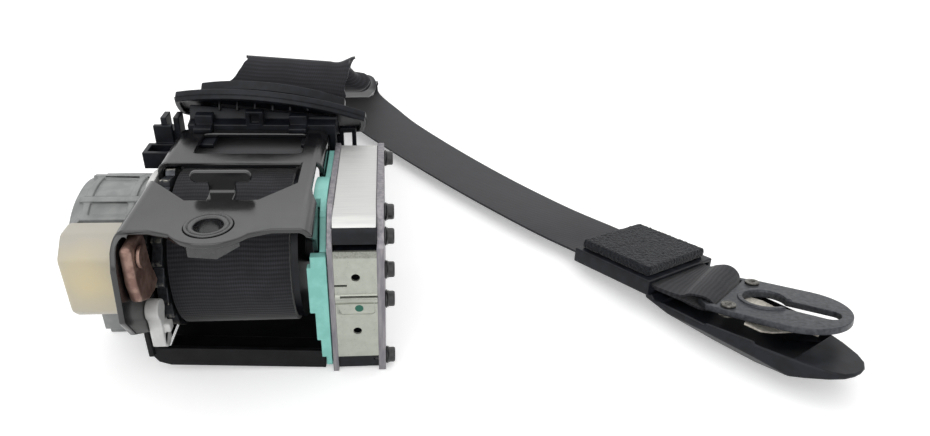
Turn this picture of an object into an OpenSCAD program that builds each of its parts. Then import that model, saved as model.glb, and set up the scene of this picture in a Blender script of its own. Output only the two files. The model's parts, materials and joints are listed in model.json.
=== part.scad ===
// Seat belt retractor with pretensioner, belt guide, drawn-out webbing and keyhole end fitting.
// The origin is the centre of the anchor hole on the outer face of the frame plate.
// +Z leaves the mounting face, +Y is the way the webbing leaves, +X runs along the spool axis.

/* [Webbing] */
// webbing width
web_w = 47; // [46:0.5:48]
// webbing thickness
web_t = 1.2; // [1:0.1:1.3]
// radius of the wound webbing
roll_r = 35; // [33:0.5:36]
// radius of the spool hub
hub_r = 16; // [14:0.5:18]

/* [Frame] */
// sheet thickness of the frame
plate_t = 2.2; // [1.8:0.1:2.6]
// outside radius of the side bends
bend_r = 5; // [4:0.5:6]
// thread minor radius of the anchor nut
anchor_r = 5.1; // [4.2:0.1:5.6]
// anchor nut across flats
nut_af = 18; // [17:0.5:20]
// anchor nut height below the plate
nut_h = 6; // [5:0.5:8]
// rear end of the frame plate
frame_y1 = 86; // [84:0.5:86]

/* [Lock and sensor] */
// number of ratchet teeth
teeth = 24; // [18:1:30]
// depth of a ratchet tooth
tooth_h = 2.6; // [2:0.1:3]
// sensor ball radius
ball_r = 4; // [3.5:0.1:4.2]
// radius of the pawl pin
pin_r = 3; // [2.5:0.1:3.5]

/* [Spring side] */
// spring housing radius
drum_r = 29.5; // [28:0.5:31]
// spring housing length
drum_len = 27; // [25:0.5:28]
// turns of the return spring
spring_turns = 9; // [7:1:10]

/* [Tensioner] */
// thickness of the two steel side plates
side_t = 2.4; // [2:0.1:3]
// distance between the side plates
core_w = 16.8; // [16:0.2:18]
// radius of the drive rotor
rotor_r = 21; // [19:0.5:21.5]
// radius of a gas generator cartridge
gen_r = 6; // [5:0.2:6.4]

/* [Guide] */
// half length of the bezel flange
bezel_len = 44; // [42:0.5:46]
// half depth of the bezel flange
bezel_dep = 20; // [18:0.5:21]
// lean of the bezel towards the rear
bezel_lean = 43; // [40:1:45]

/* [End fitting] */
// keyhole plate thickness
key_t = 3; // [2.5:0.1:3.2]
// radius of the keyhole's round end
key_r = 9.5; // [8.5:0.1:10.5]
// half width of the keyhole's slot
key_slot = 5; // [4:0.1:5.5]
// nose-up tilt of the keyhole plate
key_tilt = 6; // [5:1:8]

/* [Hidden] */
$fn = 64;
run = 0.3;
snug = 0.05;
half_w = web_w / 2;
axis_z = -(roll_r + 4.5);
axis_y = roll_r + 16;
floor_z = axis_z - roll_r - 3.5;
wheel_r = roll_r + 0.8;
flange_r = roll_r - 2;
wheel_x1 = -(half_w + 1.7);
wheel_x0 = wheel_x1 - 4;
frame_x0 = wheel_x0 - 0.6 - plate_t;
frame_x1 = half_w + 12.5;
bearing_x0 = frame_x1 + run;
bearing_x1 = bearing_x0 + 2.7;
inner_x0 = bearing_x1 + 0.2;
core_x0 = inner_x0 + side_t;
core_x1 = core_x0 + core_w;
outer_x1 = core_x1 + side_t + 0.6;
shaft_r = 9;
stub_r = 7;
bar_r = 5;
base_x1 = frame_x0 - run;
base_x0 = base_x1 - 2.6;
drum_x0 = base_x0 - drum_len;
base_r = roll_r - 1.5;
front_y = 8;
sheet_t = 1;
sheet_y = front_y + 0.2;
gen_y0 = 14.5;
gen_len = 13;
gen_z = [-29.7, -56.4];
cavity_r = rotor_r + 0.6;
pawl_y = -1;
pawl_z = -12;
sense_x = base_x0 - 10;
sense_z = -26;
dish_r = 6.5;
cage_y0 = 4;
ball_y = cage_y0 + 1.05 + ball_r + snug;
lever_z = sense_z - 10;
lever_y = ball_y + ball_r + 0.1;
bezel_at = [9, 103, 4];
bezel_roll = 6;
guide_x0 = -half_w - 4;
guide_x1 = inner_x0 - run;
fit_at = [185, 93, floor_z + 15.7];
fit_turn = [-7, -7, -57];
sleeve_z0 = -12.2;
sleeve_z1 = -4.6;
belt_z0 = -9.1;
key_at = [67, 4, -9.5];
key_yaw = 12;
loop_w = 36;
key_half = 22.5;
tail_n = 6;

frame_col = [0.11, 0.11, 0.12];
nut_col = [0.16, 0.16, 0.17];
web_col = [0.16, 0.16, 0.17];
teal_col = [0.51, 0.80, 0.75];
steel_col = [0.49, 0.48, 0.49];
alu_col = [0.87, 0.87, 0.85];
zinc_col = [0.70, 0.71, 0.67];
bolt_col = [0.14, 0.13, 0.14];
grey_col = [0.66, 0.67, 0.67];
ivory_col = [0.88, 0.85, 0.78];
copper_col = [0.53, 0.39, 0.36];
white_col = [0.75, 0.75, 0.74];
black_col = [0.16, 0.17, 0.20];
dark_col = [0.27, 0.28, 0.30];
felt_col = [0.15, 0.16, 0.19];
leaf_col = [0.78, 0.76, 0.73];

// a flat shape drawn as (Y, Z), given thickness along X
module along_x(x0, x1) {
  translate([x0, 0, 0]) rotate([90, 0, 90]) linear_extrude(x1 - x0) children();
}

// a flat shape drawn as (X, Z), given thickness along Y
module along_y(y0, y1) {
  translate([0, y1, 0]) rotate([90, 0, 0]) linear_extrude(y1 - y0) children();
}

// a rod along X about the spool axis
module rod(r, x0, x1) {
  along_x(x0, x1) translate([axis_y, axis_z]) circle(r);
}

// a rod along X anywhere
module rod_at(r, x0, x1, y, z) {
  along_x(x0, x1) translate([y, z]) circle(r);
}

// the frame of the end fitting, origin at the rear edge of the felt's top
module fitting() {
  translate(fit_at) rotate(fit_turn) children();
}

// the frame of the keyhole plate inside the end fitting
module key_frame() {
  fitting() translate(key_at) rotate([0, -key_tilt, key_yaw]) children();
}

// the frame of the bezel, its top face at zero
module bezel_frame() {
  translate(bezel_at) rotate([0, bezel_roll, 0]) rotate([-bezel_lean, 0, 0]) children();
}

// smooth points through a route, each point a list of numbers
function mid(p0, p1, p2, p3, t) = 0.5 * (2 * p1 + (p2 - p0) * t
  + (2 * p0 - 5 * p1 + 4 * p2 - p3) * t * t + (3 * p1 - p0 - 3 * p2 + p3) * t * t * t);
function smooth(p, n) = [for (i = [0 : len(p) - 2]) for (k = [0 : n - (i == len(p) - 2 ? 0 : 1)])
  mid(p[max(i - 1, 0)], p[i], p[i + 1], p[min(i + 2, len(p) - 1)], k / n)];
function unit(v) = v / norm(v);
function three(v, k) = [v[k], v[k + 1], v[k + 2]];

// where a point or a direction of the end fitting lies in the part's frame
function spin_x(v, a) = [v[0], v[1] * cos(a) - v[2] * sin(a), v[1] * sin(a) + v[2] * cos(a)];
function spin_y(v, a) = [v[0] * cos(a) + v[2] * sin(a), v[1], v[2] * cos(a) - v[0] * sin(a)];
function spin_z(v, a) = [v[0] * cos(a) - v[1] * sin(a), v[0] * sin(a) + v[1] * cos(a), v[2]];
function fit_way(v) = spin_z(spin_y(spin_x(v, fit_turn[0]), fit_turn[1]), fit_turn[2]);

// one band, each station a centre and the way its width runs
module band(stations, w, t, n) {
  s = smooth(stations, n);
  m = len(s);
  pts = [for (i = [0 : m - 1])
    let (c = three(s[i], 0), a = three(s[max(i - 1, 0)], 0), b = three(s[min(i + 1, m - 1)], 0),
      f = unit(b - a), d = unit(three(s[i], 3)), u = d / norm(cross(f, d)), h = unit(cross(f, d)))
    for (q = [[-1, -1], [1, -1], [1, 1], [-1, 1]]) c + u * q[0] * w / 2 + h * q[1] * t / 2];
  sides = [for (i = [0 : m - 2]) for (k = [0 : 3])
    let (a = 4 * i + k, b = 4 * i + (k + 1) % 4)
    for (tri = [[a, b, b + 4], [a, b + 4, a + 4]]) tri];
  e = 4 * m - 4;
  polyhedron(points = pts, faces = concat([[2, 1, 0], [3, 2, 0]], sides,
    [[e, e + 1, e + 2], [e, e + 2, e + 3]]), convexity = 8);
}

// one side wall with its bend, drawn as (X, Z) at the left
module wall_section() {
  translate([0, -90]) square([plate_t, 90 - bend_r]);
  intersection() {
    translate([bend_r, -bend_r]) difference() {
      circle(bend_r);
      circle(bend_r - plate_t);
    }
    translate([0, -bend_r]) square([bend_r + 0.01, bend_r]);
  }
}

module left_outline() {
  polygon([[-3, 1], [-3, -2], [-8, -6], [-11, -12], [-14, -32], [-8, -42], [10, -55], [20, axis_z - 31], [72, axis_z - 31],
    [frame_y1, axis_z + 6], [frame_y1, 1]]);
}

module right_outline() {
  polygon([[-3, 1], [-3, -4], [8, -12], [12.2, -22], [12.2, floor_z + 7.5], [74, floor_z + 7.5],
    [frame_y1, axis_z + 6], [frame_y1, 1]]);
}

module plate_outline() {
  polygon([[frame_x0 + bend_r, -3], [-20, -3], [-12.5, -5.9], [14.5, -5.9], [22, -3],
    [frame_x1 - bend_r, -3], [frame_x1 - bend_r, frame_y1], [frame_x0 + bend_r, frame_y1]]);
  translate([1, 4.4]) circle(17);
}

module rear_window() {
  translate([-17, 60]) square([41, 21]);
  translate([-19, 62]) square([45, 17]);
  for (x = [-17, 24]) for (y = [62, 79]) translate([x, y]) circle(2);
}

module front_window() {
  polygon([[-13, 19], [14, 19], [27, 32.5], [27, 51], [frame_x0 - 1, 51], [frame_x0 - 1, 40]]);
}

// upright T-shaped tab that locates the frame on the car body
module locating_hook() {
  fold = 1.3;
  y0 = 24.5 - fold;
  along_x(-5, 5) {
    translate([17, -plate_t]) square([y0 - 17, plate_t]);
    intersection() {
      translate([y0, fold]) difference() {
        circle(plate_t + fold);
        circle(fold);
      }
      translate([y0, -plate_t]) square(plate_t + fold);
    }
    translate([24.5, fold]) square([plate_t, 4]);
  }
  along_y(24.5, 24.5 + plate_t) {
    translate([-9, 4]) square([18, 4.8]);
    for (x = [-9, 9]) translate([x, 6.4]) circle(2.4);
  }
}

// gap in the right bend that lets the bearing plate's crown through
module bend_gap() {
  polygon([[frame_x1 - 3, 27.5], [frame_x1 + 1, 18], [frame_x1 + 1, 52], [frame_x1 - 3, 52]]);
}

module frame() color(frame_col) {
  difference() {
    union() {
      translate([0, 0, -plate_t]) linear_extrude(plate_t) plate_outline();
      intersection() {
        along_y(-20, frame_y1) translate([frame_x0, 0]) wall_section();
        along_x(frame_x0 - 1, frame_x0 + bend_r + 1) left_outline();
      }
      intersection() {
        along_y(-20, frame_y1) translate([frame_x1, 0]) mirror([1, 0]) wall_section();
        along_x(frame_x1 - bend_r - 1, frame_x1 + 1) right_outline();
      }
    }
    translate([0, 0, -9]) linear_extrude(12) rear_window();
    translate([0, 0, -12]) linear_extrude(14) front_window();
    translate([0, 0, -11]) linear_extrude(13) bend_gap();
    translate([0, 0, -5]) cylinder(r = 8.45, h = 10);
    rod(stub_r + 1, frame_x0 - 1, frame_x0 + plate_t + 1);
    rod(shaft_r + 0.6, frame_x1 - plate_t - 1, frame_x1 + 1);
    rod_at(pin_r + snug, frame_x0 - 1, frame_x0 + plate_t + 1, pawl_y, pawl_z);
  }
  locating_hook();
}

module anchor_nut() color(nut_col) {
  difference() {
    union() {
      translate([0, 0, -plate_t - nut_h]) rotate(-8) cylinder(d = nut_af / cos(30), h = nut_h, $fn = 6);
      translate([0, 0, -plate_t - 1]) cylinder(r = 8.4, h = plate_t + 1.4);
    }
    translate([0, 0, -plate_t - nut_h - 1]) cylinder(r = anchor_r, h = nut_h + plate_t + 4);
    cylinder(r1 = anchor_r, r2 = anchor_r + 1, h = 0.41);
    difference() {
      translate([0, 0, -0.2]) cylinder(r = 7.3, h = 1);
      translate([0, 0, -1]) cylinder(r = 6.9, h = 3);
    }
  }
}

// tie strap below the roll, turned up outside the left wall
module lower_strap() color(frame_col) {
  top = floor_z + 7.5;
  out = frame_x0 - plate_t;
  along_y(10, 12.2) polygon([[out, floor_z + 20], [frame_x0, floor_z + 20], [frame_x0, floor_z + 15.5],
    [frame_x0 + 2, floor_z + 13.8], [frame_x1, top + 2], [frame_x1, floor_z + 0.4], [-27, floor_z + 4.6],
    [frame_x0 + 0.5, floor_z + 6.5], [out, floor_z + 11]]);
  translate([frame_x0, 20, floor_z + 0.2]) cube([frame_x1 - frame_x0, 46, 1.4]);
  along_y(12.2, 27) polygon([[-29, floor_z + 7], [frame_x1, floor_z + 2.6], [frame_x1, floor_z + 0.4],
    [-29, floor_z + 4.8]]);
  along_x(out, frame_x0) {
    translate([8, floor_z + 11]) square([8, 11]);
    translate([12, floor_z + 22]) circle(4);
  }
}

module side_outline() {
  polygon([[front_y, floor_z], [front_y, -16], [22, -4], [80, -4], [92, -16], [92, floor_z + 8],
    [84, floor_z]]);
}

module bearing_plate() color(teal_col) {
  difference() {
    along_x(bearing_x0, bearing_x1)
      polygon([[10, floor_z + 2], [10, -20], [22, -7], [78, -7], [86, -18], [86, floor_z + 8], [80, floor_z + 2]]);
    rod(shaft_r + snug, bearing_x0 - 1, bearing_x1 + 1);
  }
  along_x(bearing_x0, bearing_x1) intersection() {
    translate([37, -34.5]) circle(31);
    translate([20, -12]) square([30, 9]);
  }
  along_x(frame_x1 - 2.6, bearing_x0) intersection() {
    translate([37, -34.5]) circle(31);
    translate([28, -9]) square([22, 6]);
  }
  along_y(front_y - 1, front_y + 2.5) polygon([[frame_x1 - 3, -24], [frame_x1 - 4.5, -24],
    [frame_x1 - 4.5, -46], [frame_x1 - 2.5, -46], [frame_x1 - 2.5, -60], [frame_x1 - 1, -60],
    [frame_x1 - 1, floor_z + 9], [frame_x1 + 1, floor_z + 9], [frame_x1 + 1, floor_z + 5],
    [bearing_x1, floor_z + 5], [bearing_x1, -19], [frame_x1 - 3, -19]]);
}

module side_plate(x0, x1) {
  difference() {
    along_x(x0, x1) side_outline();
    bolt_holes(x0 - 1, x1 + 1);
  }
}

bolt_at = [[74, -9], [26, -10], [17, -16], [12, -28.5], [12, -43], [12, floor_z + 5]];
module bolt_holes(x0, x1) {
  for (b = bolt_at) rod_at(2.45, x0, x1, b[0], b[1]);
}

module inner_plate() color(steel_col) {
  difference() {
    side_plate(inner_x0, core_x0);
    rod(shaft_r + 0.6, inner_x0 - 1, core_x0 + 1);
  }
}

module outer_plate() color(steel_col) side_plate(core_x1, outer_x1);

// bright block on top, its front edge rounded
module tensioner_block() color(alu_col) {
  difference() {
    along_x(core_x0, core_x1) {
      translate([14.5, -16]) square([65, 11]);
      translate([8.5, -14.6]) square([6.1, 3.6]);
      translate([14.5, -11]) circle(6);
    }
    bolt_holes(core_x0 - 1, core_x1 + 1);
  }
}

module tensioner_core() color(black_col) {
  difference() {
    along_x(core_x0, core_x1) polygon([[9.6, floor_z + 1], [9.6, -17.4], [21, -17.4], [21, -16], [88, -16],
      [88, floor_z + 9], [82, floor_z + 1]]);
    rod(cavity_r, core_x0 + 2, core_x1 - 2.4);
    rod(shaft_r + 0.6, core_x0 - 1, core_x0 + 3);
    bolt_holes(core_x1 - 2, core_x1 + 1);
    for (z = gen_z) translate([core_x0 + core_w / 2, 0, z]) rotate([-90, 0, 0]) {
      translate([0, 0, gen_y0]) cylinder(r = gen_r + snug, h = gen_len);
      cylinder(r = 2.2, h = gen_y0 + 1);
    }
  }
}

// folded sheet at the front with a pressed bead and two sight holes
module cover_sheet() color(zinc_col) {
  xm = core_x0 + core_w / 2;
  difference() {
    union() {
      along_y(sheet_y, sheet_y + sheet_t) polygon([[core_x0, -17.5], [core_x1, -17.5], [core_x1, floor_z + 8],
        [core_x0, floor_z + 8]]);
      intersection() {
        rod_at(1.6, core_x0, core_x1, sheet_y + 0.6, -39);
        translate([core_x0, sheet_y - 2, -45]) cube([core_w, 2.5, 12]);
      }
    }
    for (z = gen_z) translate([xm, sheet_y - 3, z]) rotate([-90, 0, 0]) cylinder(r = 1.75, h = 6);
    translate([core_x0 - 1, sheet_y - 1, -42.6]) cube([core_w + 2, 1.5, 0.6]);
    translate([core_x0 - 1, sheet_y - 1, -34]) cube([core_w * 0.35, 4, 1]);
  }
}

module tensioner_bolts() color(bolt_col) {
  for (b = bolt_at) {
    rod_at(2.4, core_x1 - 1.8, outer_x1, b[0], b[1]);
    rod_at(3.8, outer_x1, outer_x1 + 1, b[0], b[1]);
    difference() {
      rod_at(3.2, outer_x1 + 1, outer_x1 + 4, b[0], b[1]);
      rod_at(1.5, outer_x1 + 2.4, outer_x1 + 5, b[0], b[1]);
    }
  }
}

module gas_generators() color(steel_col) {
  for (z = gen_z) translate([core_x0 + core_w / 2, gen_y0, z]) rotate([-90, 0, 0]) {
    cylinder(r = gen_r, h = gen_len - 3);
    cylinder(r = gen_r - 1, h = gen_len - 0.2);
  }
}

module drive_rotor() color(steel_col) {
  difference() {
    rod(rotor_r, core_x0 + 2.4, core_x1 - 2.8);
    for (a = [0 : 60 : 300]) translate([0, axis_y, axis_z]) rotate([a, 0, 0])
      rod_at(4, core_x0, core_x1, rotor_r, 0);
    rod(4, core_x0 + 1, core_x1);
  }
}

module mechanism_base() color(white_col) {
  difference() {
    along_x(base_x0, base_x1) {
      translate([axis_y, axis_z]) circle(base_r);
      translate([2, -43]) square([22, 34.5]);
    }
    rod(stub_r + snug, base_x0 - 1, base_x1 + 1);
  }
}

// drum over the return spring, with ribs and lugs
module spring_housing() color(grey_col) {
  difference() {
    union() {
      rod(drum_r, drum_x0, base_x0);
      for (a = [28, 52, 78, 112]) translate([0, axis_y, axis_z]) rotate([a, 0, 0])
        translate([drum_x0 + 2, drum_r - 1, -1.5]) cube([drum_len - 3, 2.8, 3]);
      for (x = [drum_x0 + 4, base_x0 - 6]) along_x(x, x + 2.5) translate([axis_y, axis_z]) intersection() {
        circle(drum_r + 1.1);
        translate([-22, 14]) square([44, 22]);
      }
      translate([drum_x0 + 1, axis_y - 13, floor_z]) cube([drum_len - 4, 26, axis_z - drum_r + 3 - floor_z]);
      translate([drum_x0 + 2.5, axis_y - 27, axis_z + 9.5]) cube([drum_len - 5, 12, 15]);
      translate([drum_x0 + 9, axis_y - 33, axis_z - 20.5]) cube([drum_len - 12, 20, 12]);
    }
    rod(drum_r - 2, drum_x0 + 1.6, base_x0 + 1);
    translate([drum_x0 + 4.5, axis_y - 25, axis_z + 21.5]) cube([drum_len - 9, 4.5, 5]);
  }
}

module spring_cover() color(grey_col) {
  difference() {
    union() {
      rod(drum_r - 2.4, drum_x0 - 1.6, drum_x0);
      rod(9, drum_x0 - 3, drum_x0);
      for (a = [0 : 60 : 120]) translate([0, axis_y, axis_z]) rotate([a, 0, 0])
        translate([drum_x0 - 2.4, -drum_r + 4, -1]) cube([2.4, 2 * drum_r - 8, 2]);
    }
    rod(4, drum_x0 - 4, drum_x0 + 1);
  }
}

// spiral band from the arbor to the drum wall, drawn as (Y, Z)
module return_spring() color(steel_col) {
  r0 = 6.3;
  r1 = drum_r - 2.4;
  turn = 360 * spring_turns;
  arm = [for (a = [0 : 15 : turn]) [r0 + (r1 - r0) * a / turn, a]];
  line = concat([for (p = arm) [(p[0] + 0.2) * cos(p[1]), (p[0] + 0.2) * sin(p[1])]],
    [for (i = [len(arm) - 1 : -1 : 0]) [(arm[i][0] - 0.2) * cos(arm[i][1]), (arm[i][0] - 0.2) * sin(arm[i][1])]]);
  along_x(drum_x0 + 4, base_x0 - 3) translate([axis_y, axis_z]) polygon(line);
}

module spring_arbor() color(white_col) {
  difference() {
    rod(6, drum_x0 + 2.2, base_x0 - 0.6);
    rod(2.5, drum_x0 + 1, drum_x0 + 12);
  }
}

// clear cover of the crash sensor, its upper corners cut off
module cover_shape(g) {
  y0 = 2 + g;
  y1 = 18 - g;
  z0 = -42.5 + g;
  z1 = -8.5 - g;
  c = 7 - 0.4 * g;
  polygon([[y0 + 3, z0], [y0, z0 + 4], [y0, z1 - c], [y0 + c, z1], [y1, z1], [y1, z0]]);
}

module sensor_cover() color(ivory_col) {
  difference() {
    along_x(base_x0 - 20.5, base_x0) cover_shape(0);
    along_x(base_x0 - 19, base_x0 + 1) cover_shape(1.5);
  }
}

module sensor_cage() color(white_col) {
  difference() {
    union() {
      translate([sense_x - 6.5, cage_y0, sense_z - 7]) cube([13, 3.2, 14]);
      translate([sense_x + 6.5, cage_y0, sense_z - 3]) cube([base_x0 - sense_x - 6.5, 3.2, 6]);
      for (x = [sense_x - 7.8, sense_x + 6.2]) translate([x, cage_y0, lever_z - 2]) cube([1.6, 11.4, 5]);
    }
    translate([sense_x, cage_y0 + 1.05 + dish_r, sense_z]) sphere(dish_r);
    rod_at(1, sense_x - 9, sense_x + 9, lever_y + 0.6, lever_z);
  }
}

module sensor_ball() color(steel_col) translate([sense_x, ball_y, sense_z]) sphere(ball_r);

module sensor_lever() color(white_col) {
  translate([sense_x - 4.5, lever_y, lever_z]) cube([9, 1.2, 15]);
  rod_at(1.2, sense_x - 5.6, sense_x + 5.6, lever_y + 0.6, lever_z);
  rod_at(0.95, sense_x - 7.7, sense_x + 7.7, lever_y + 0.6, lever_z);
}

// white stop below the pawl, with a round knob
module pawl_carrier() color(white_col) {
  along_x(wheel_x0 - 0.6, wheel_x1 + 0.6) {
    translate([6.5, -41.5]) circle(4.2);
    translate([3.5, -58]) square([6, 17]);
    translate([8, -57]) circle(3.5);
  }
  along_x(wheel_x0 - 0.6, wheel_x1 + 3) translate([5, -52]) square([4, 4]);
}

module pawl_shape() {
  polygon([[-7, -5.5], [-8.5, -20], [-7, -28], [0, -32], [7, -33], [12, -31], [9, -22], [8, -8], [4, -5.2]]);
}

module locking_pawl() color(copper_col) {
  difference() {
    along_x(wheel_x0 - 0.2, wheel_x1) pawl_shape();
    rod_at(pin_r + snug, wheel_x0 - 1, wheel_x1 + 1, pawl_y, pawl_z);
  }
}

module pawl_pin() color(steel_col) {
  rod_at(pin_r, frame_x0, wheel_x1 + 0.4, pawl_y, pawl_z);
  rod_at(pin_r + 1.2, wheel_x1 + 0.4, wheel_x1 + 1.4, pawl_y, pawl_z);
}

// open bracket at the middle of the guide's front
module guide_bracket() {
  translate([-1.5, frame_y1, 1]) difference() {
    cube([8, 4, 7.5]);
    translate([2, -1, 1.5]) cube([4, 3, 4.5]);
  }
}

// funnel that turns the webbing up into the bezel
module belt_guide() color(black_col) {
  difference() {
    union() {
      along_x(guide_x0, guide_x1) polygon([[frame_y1, -17], [frame_y1, 2], [91, 3], [97, 11], [112, 4],
        [106, -13], [101, -17]]);
      rod_at(5, half_w + 2.5, guide_x1 + 0.8, frame_y1 + 9, 0.5);
      guide_bracket();
      for (x = [-24, 18]) {
        translate([x, frame_y1, -1]) cube([8, 5, 7.5]);
        translate([x, frame_y1 - 5, 0]) cube([8, 6, 2.2]);
      }
      for (x = [-20, 24]) translate([x, frame_y1 - 12, -plate_t - 2]) cube([6, 13, 2]);
    }
    along_x(guide_x0 + 3, guide_x1 - 3) polygon([[frame_y1 - 1, -13.5], [frame_y1 - 1, -3.5], [90, -2.5],
      [95, 1], [99, 16], [112, 12], [106, 1], [102, -10], [98, -13.5]]);
    bezel_frame() translate([-70, -60, -5]) cube([140, 120, 60]);
  }
}

// oval outline from two large arcs, its points cut round
module oval(a, b) {
  big = (a * a * 1.5 + b * b) / (2 * b);
  intersection() {
    translate([0, big - b]) circle(big, $fn = 96);
    translate([0, b - big]) circle(big, $fn = 96);
    circle(a, $fn = 96);
  }
}

module bezel() color(black_col) {
  slot_a = half_w + 3;
  bezel_frame() difference() {
    union() {
      translate([0, 0, -3]) linear_extrude(3) oval(bezel_len, bezel_dep);
      translate([0, 0, -5]) linear_extrude(2.5) difference() {
        oval(bezel_len - 0.2, bezel_dep - 0.2);
        oval(bezel_len - 2.4, bezel_dep - 2.4);
      }
      linear_extrude(2.5) oval(slot_a + 6, 14);
      translate([0, 0, 2]) linear_extrude(4.5) oval(slot_a + 7, 15);
    }
    translate([-slot_a, -5, -8]) cube([2 * slot_a, 10, 20]);
    translate([0, 0, -5.5]) linear_extrude(2.6) intersection() {
      translate([-50, -13.5]) square([100, 27]);
      oval(bezel_len - 2.4, bezel_dep - 2.4);
    }
  }
}

// left rear clip for the wiring, a pocket and two stepped fins
module side_clip() color(black_col) {
  x1 = frame_x0;
  difference() {
    translate([x1 - 13, 73, -13.8]) cube([13, 11, 7.8]);
    translate([x1 - 11, 75, -12.2]) cube([9, 7, 10]);
  }
  translate([x1 - 10, 84, -13.8]) cube([8, 2.4, 16]);
  difference() {
    translate([x1 - 7, 86.4, -13.8]) cube([8, 8, 19]);
    translate([x1 - 4.5, 86.4, -1]) cube([3, 10, 8]);
  }
}

// right rear loop that leads the wiring
module side_eyelet() color(black_col) {
  difference() {
    along_y(94.5, 98) {
      translate([guide_x1 + 1, -20]) square([8, 17]);
      translate([guide_x1, -13]) square([2, 6]);
    }
    along_y(93, 99) translate([guide_x1 + 3, -15]) square([4, 10]);
  }
}

module spool() color(black_col) {
  difference() {
    union() {
      rod(hub_r, wheel_x1, half_w + 3.2);
      rod(flange_r - 4, wheel_x1, -half_w - 0.3);
      rod(flange_r, half_w + 0.4, half_w + 3.2);
      rod(shaft_r, half_w + 3.2, core_x0 + 1.6);
      rod(stub_r, base_x0 - 0.6, wheel_x1);
    }
    rod(bar_r + snug, wheel_x1 + 2, core_x0 + 3);
  }
}

module torsion_bar() color(steel_col) {
  rod(bar_r, wheel_x1 + 2, core_x0 + 1.6);
}

// ratchet wheel, saw teeth cut by turned wedges
module ratchet_wheel() color(dark_col) {
  step = 360 / teeth;
  inner = wheel_r - tooth_h;
  saw = [for (i = [0 : teeth - 1]) for (k = [0, 1])
    let (a = (i + k * 0.8) * step, r = k == 0 ? inner : wheel_r) [r * cos(a), r * sin(a)]];
  difference() {
    along_x(wheel_x0, wheel_x1) translate([axis_y, axis_z]) polygon(saw);
    rod(stub_r + snug, wheel_x0 - 1, wheel_x1 + 1);
    rod(wheel_r - 9, wheel_x0 - 1, wheel_x0 + 1);
  }
}

module webbing_roll() color(web_col) {
  difference() {
    rod(roll_r, -half_w, half_w);
    rod(hub_r + snug, -half_w - 1, half_w + 1);
  }
}

// from the roll, under the plate and up through the bezel
lead_r = roll_r + 0.3 + web_t / 2;
lead_route = [
  [0, axis_y + lead_r * sin(8), axis_z + lead_r * cos(8), 1, 0, 0],
  [1, 72, axis_z + 33.2, 1, 0, 0],
  [4, 86, axis_z + 31.2, 1, 0, -0.03],
  [6, 93.5, -7, 1, 0, -0.06],
  [7.5, 98.5, -1.5, 1, 0, -0.1],
  [9, 103, 4, 1, 0, -0.105],
  [10.5, 106, 8, 1, 0, -0.1]];
module webbing_lead() color(web_col) band(lead_route, web_w, web_t, tail_n);

// over the crest, back to a rolled fold and along the ground to the end fitting
free_route = [
  [10.6, 106.3, 8.4, 1, 0, -0.1],
  [14, 108.4, 14, 1, 0, -0.06],
  [17.5, 110.4, 19, 1, 0, -0.03],
  [19.5, 113.5, 21.6, 1, 0, -0.01],
  [20.5, 118, 22, 1, 0, 0],
  [22, 130, 18, 1, 0, 0],
  [24, 155, 4, 1, 0.02, 0],
  [26, 200, floor_z + 57, 1, 0.06, 0],
  [28, 250, floor_z + 34, 1, 0.1, 0],
  [29, 295, floor_z + 18, 1, 0.2, 0],
  [30, 325, floor_z + 13.6, 1, 0.3, 0],
  [31, 338, floor_z + 11.6, 1, 0.31, 0],
  [32, 343, floor_z + 7, 1, 0.31, 0],
  [33, 338.5, floor_z + 2.4, 1, 0.32, 0],
  [38, 325, floor_z + 1.2, 1, 0.4, 0],
  [49, 300, floor_z + 1.9, 0.9, 0.5, -0.03],
  [65, 265, floor_z + 3.2, 0.84, 0.54, -0.08],
  [94, 216, floor_z + 4, 0.82, 0.57, -0.12],
  [124, 171, floor_z + 4.4, 0.82, 0.57, -0.14],
  [154, 130, floor_z + 5.2, 0.83, 0.55, -0.14]];
function fit_stop(x) = concat(fit_at + fit_way([x, 0, belt_z0 + web_t / 2]), fit_way([0, 1, 0]));
free_end = [fit_stop(-16), fit_stop(-2.9)];
module webbing_free() color(web_col) band(concat(free_route, free_end), web_w, web_t, tail_n);

// through the sleeve and round the rear bar of the keyhole plate
module webbing_end() color(web_col) {
  fitting() translate([-2.6, -half_w, belt_z0]) cube([54.6, web_w, web_t]);
  k = key_t / 2;
  o = k + web_t;
  key_frame() rotate([90, 0, 0]) translate([0, 0, -loop_w / 2]) linear_extrude(loop_w) difference() {
    polygon([[-18.5, 4.3], [-8, o], [-0.8, o], [-0.3, o - 0.5], [-0.3, 0.5 - o], [-0.8, -o], [-8.5, -o],
      [-18.5, 2]]);
    polygon([[-17, 3.1], [-7.5, k], [-1.5, k], [-1.5, -k], [-7.8, -k], [-17, 2.9]]);
  }
}

module end_sleeve() color(black_col) {
  fitting() difference() {
    translate([-2.6, -27, sleeve_z0]) cube([47.6, 54, sleeve_z1 - sleeve_z0]);
    translate([-4, -half_w - 0.6, belt_z0]) cube([60, web_w + 1.2, 2.7]);
  }
}

module felt_pad() color(felt_col) {
  fitting() translate([0, -23.5, sleeve_z1]) cube([41, 47, -sleeve_z1]);
}

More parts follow.
